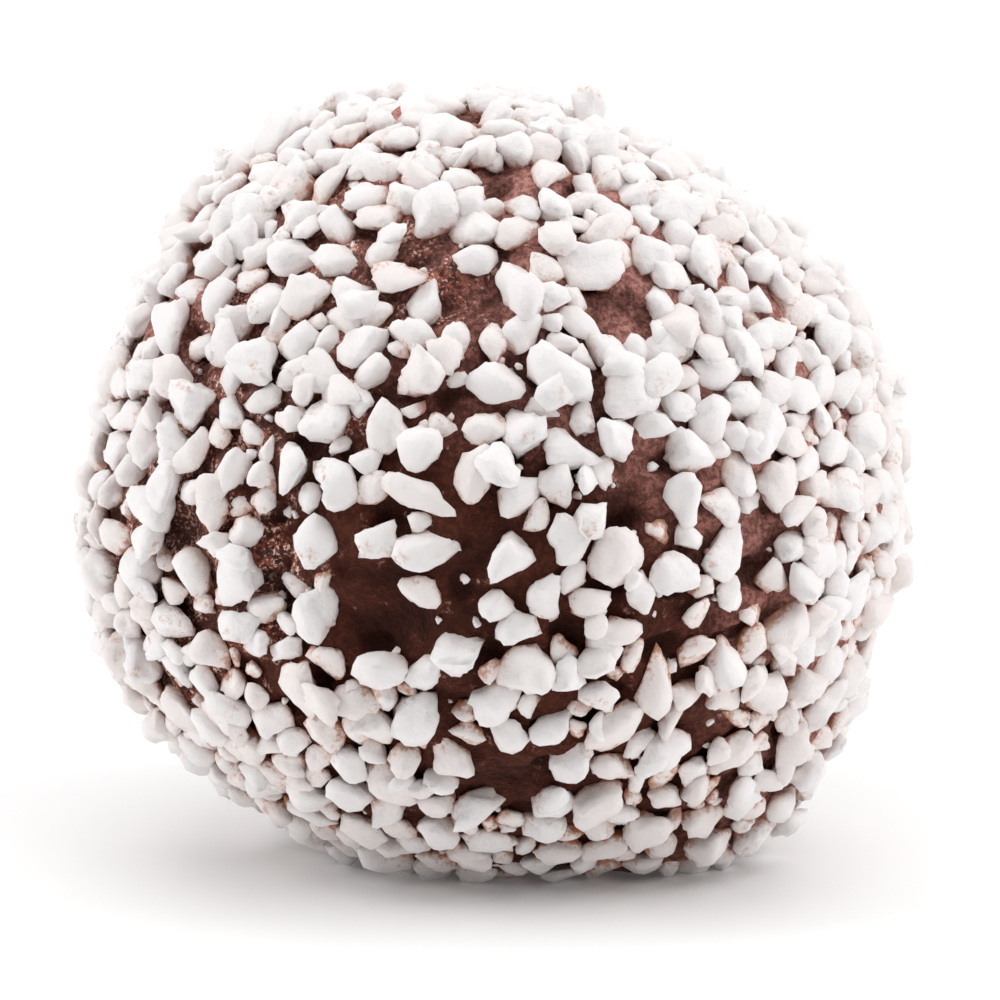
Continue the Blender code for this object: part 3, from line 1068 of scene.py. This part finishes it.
def add_lights():
    """Softboxes over and beside the ball, all aimed at it, in a white room."""
    for name, azimuth, elevation, distance, width, height, power in LIGHTS:
        lamp = bpy.data.lights.new(name, "AREA")
        lamp.shape = "RECTANGLE"
        lamp.size = width
        lamp.size_y = height
        lamp.energy = power
        holder = bpy.data.objects.new(name, lamp)
        aim_at_ball(holder, azimuth, elevation, distance)
        holder.visible_camera = False
        bpy.context.scene.collection.objects.link(holder)
    world = bpy.data.worlds.new("white_room")
    world.use_nodes = True
    room = world.node_tree.nodes["Background"]
    room.inputs["Color"].default_value = (1.0, 1.0, 1.0, 1.0)
    room.inputs["Strength"].default_value = ROOM_GLOW
    bpy.context.scene.world = world


def aim_at_ball(holder, azimuth, elevation, distance, right=0.0, up=0.0):
    """Places an object so far from the ball's centre, or from a point right and up of it, its -Z there."""
    away = facing(azimuth, elevation)
    east, north = level_axes(away[None])
    target = BALL_CENTRE + east[0] * right + north[0] * up
    holder.location = target + away * distance
    holder.rotation_mode = "QUATERNION"
    holder.rotation_quaternion = Vector(-away).to_track_quat("-Z", "Y")


def add_camera(settings):
    """A long lens that looks a little down, with the ball a little above the middle of the view."""
    scene = bpy.context.scene
    lens = bpy.data.cameras.new("camera")
    lens.sensor_width = 36.0
    lens.lens = lens.sensor_width * settings.distance / settings.view_width
    lens.clip_start = CAMERA_CLIP[0]
    lens.clip_end = CAMERA_CLIP[1]
    camera = bpy.data.objects.new("camera", lens)
    aim_at_ball(camera, 0, CAMERA_ELEVATION, settings.distance, *CAMERA_AIM)
    scene.collection.objects.link(camera)
    scene.camera = camera
    scene.view_settings.view_transform = "Standard"


class SWEETS_PT_chocolate_ball(bpy.types.Panel):
    """Lists what makes up the chocolate ball"""

    bl_label = "Chocolate ball"
    bl_space_type = "VIEW_3D"
    bl_region_type = "UI"
    bl_category = "Sweets"

    def draw(self, context):
        layout = self.layout
        for operator, group in STEPS:
            layout.operator(operator)
            settings = getattr(context.scene, group)
            for name in settings.__annotations__:
                layout.prop(settings, name)


STEPS = (("sweets.add_dough", "dough"), ("sweets.add_sugar", "sugar"), ("sweets.add_stage", "stage"))
SETTINGS = {"dough": DoughSettings, "sugar": SugarSettings, "stage": StageSettings}
CLASSES = (
    *SETTINGS.values(),
    SWEETS_OT_add_dough,
    SWEETS_OT_add_sugar,
    SWEETS_OT_add_stage,
    SWEETS_PT_chocolate_ball,
)


def register():
    for made in CLASSES:
        bpy.utils.register_class(made)
    for name, group in SETTINGS.items():
        setattr(bpy.types.Scene, name, PointerProperty(type=group))


def unregister():
    for name in SETTINGS:
        delattr(bpy.types.Scene, name)
    for made in reversed(CLASSES):
        bpy.utils.unregister_class(made)


def main():
    register()
    bpy.ops.sweets.add_dough()
    bpy.ops.sweets.add_sugar()
    bpy.ops.sweets.add_stage()


if __name__ == "__main__":
    main()
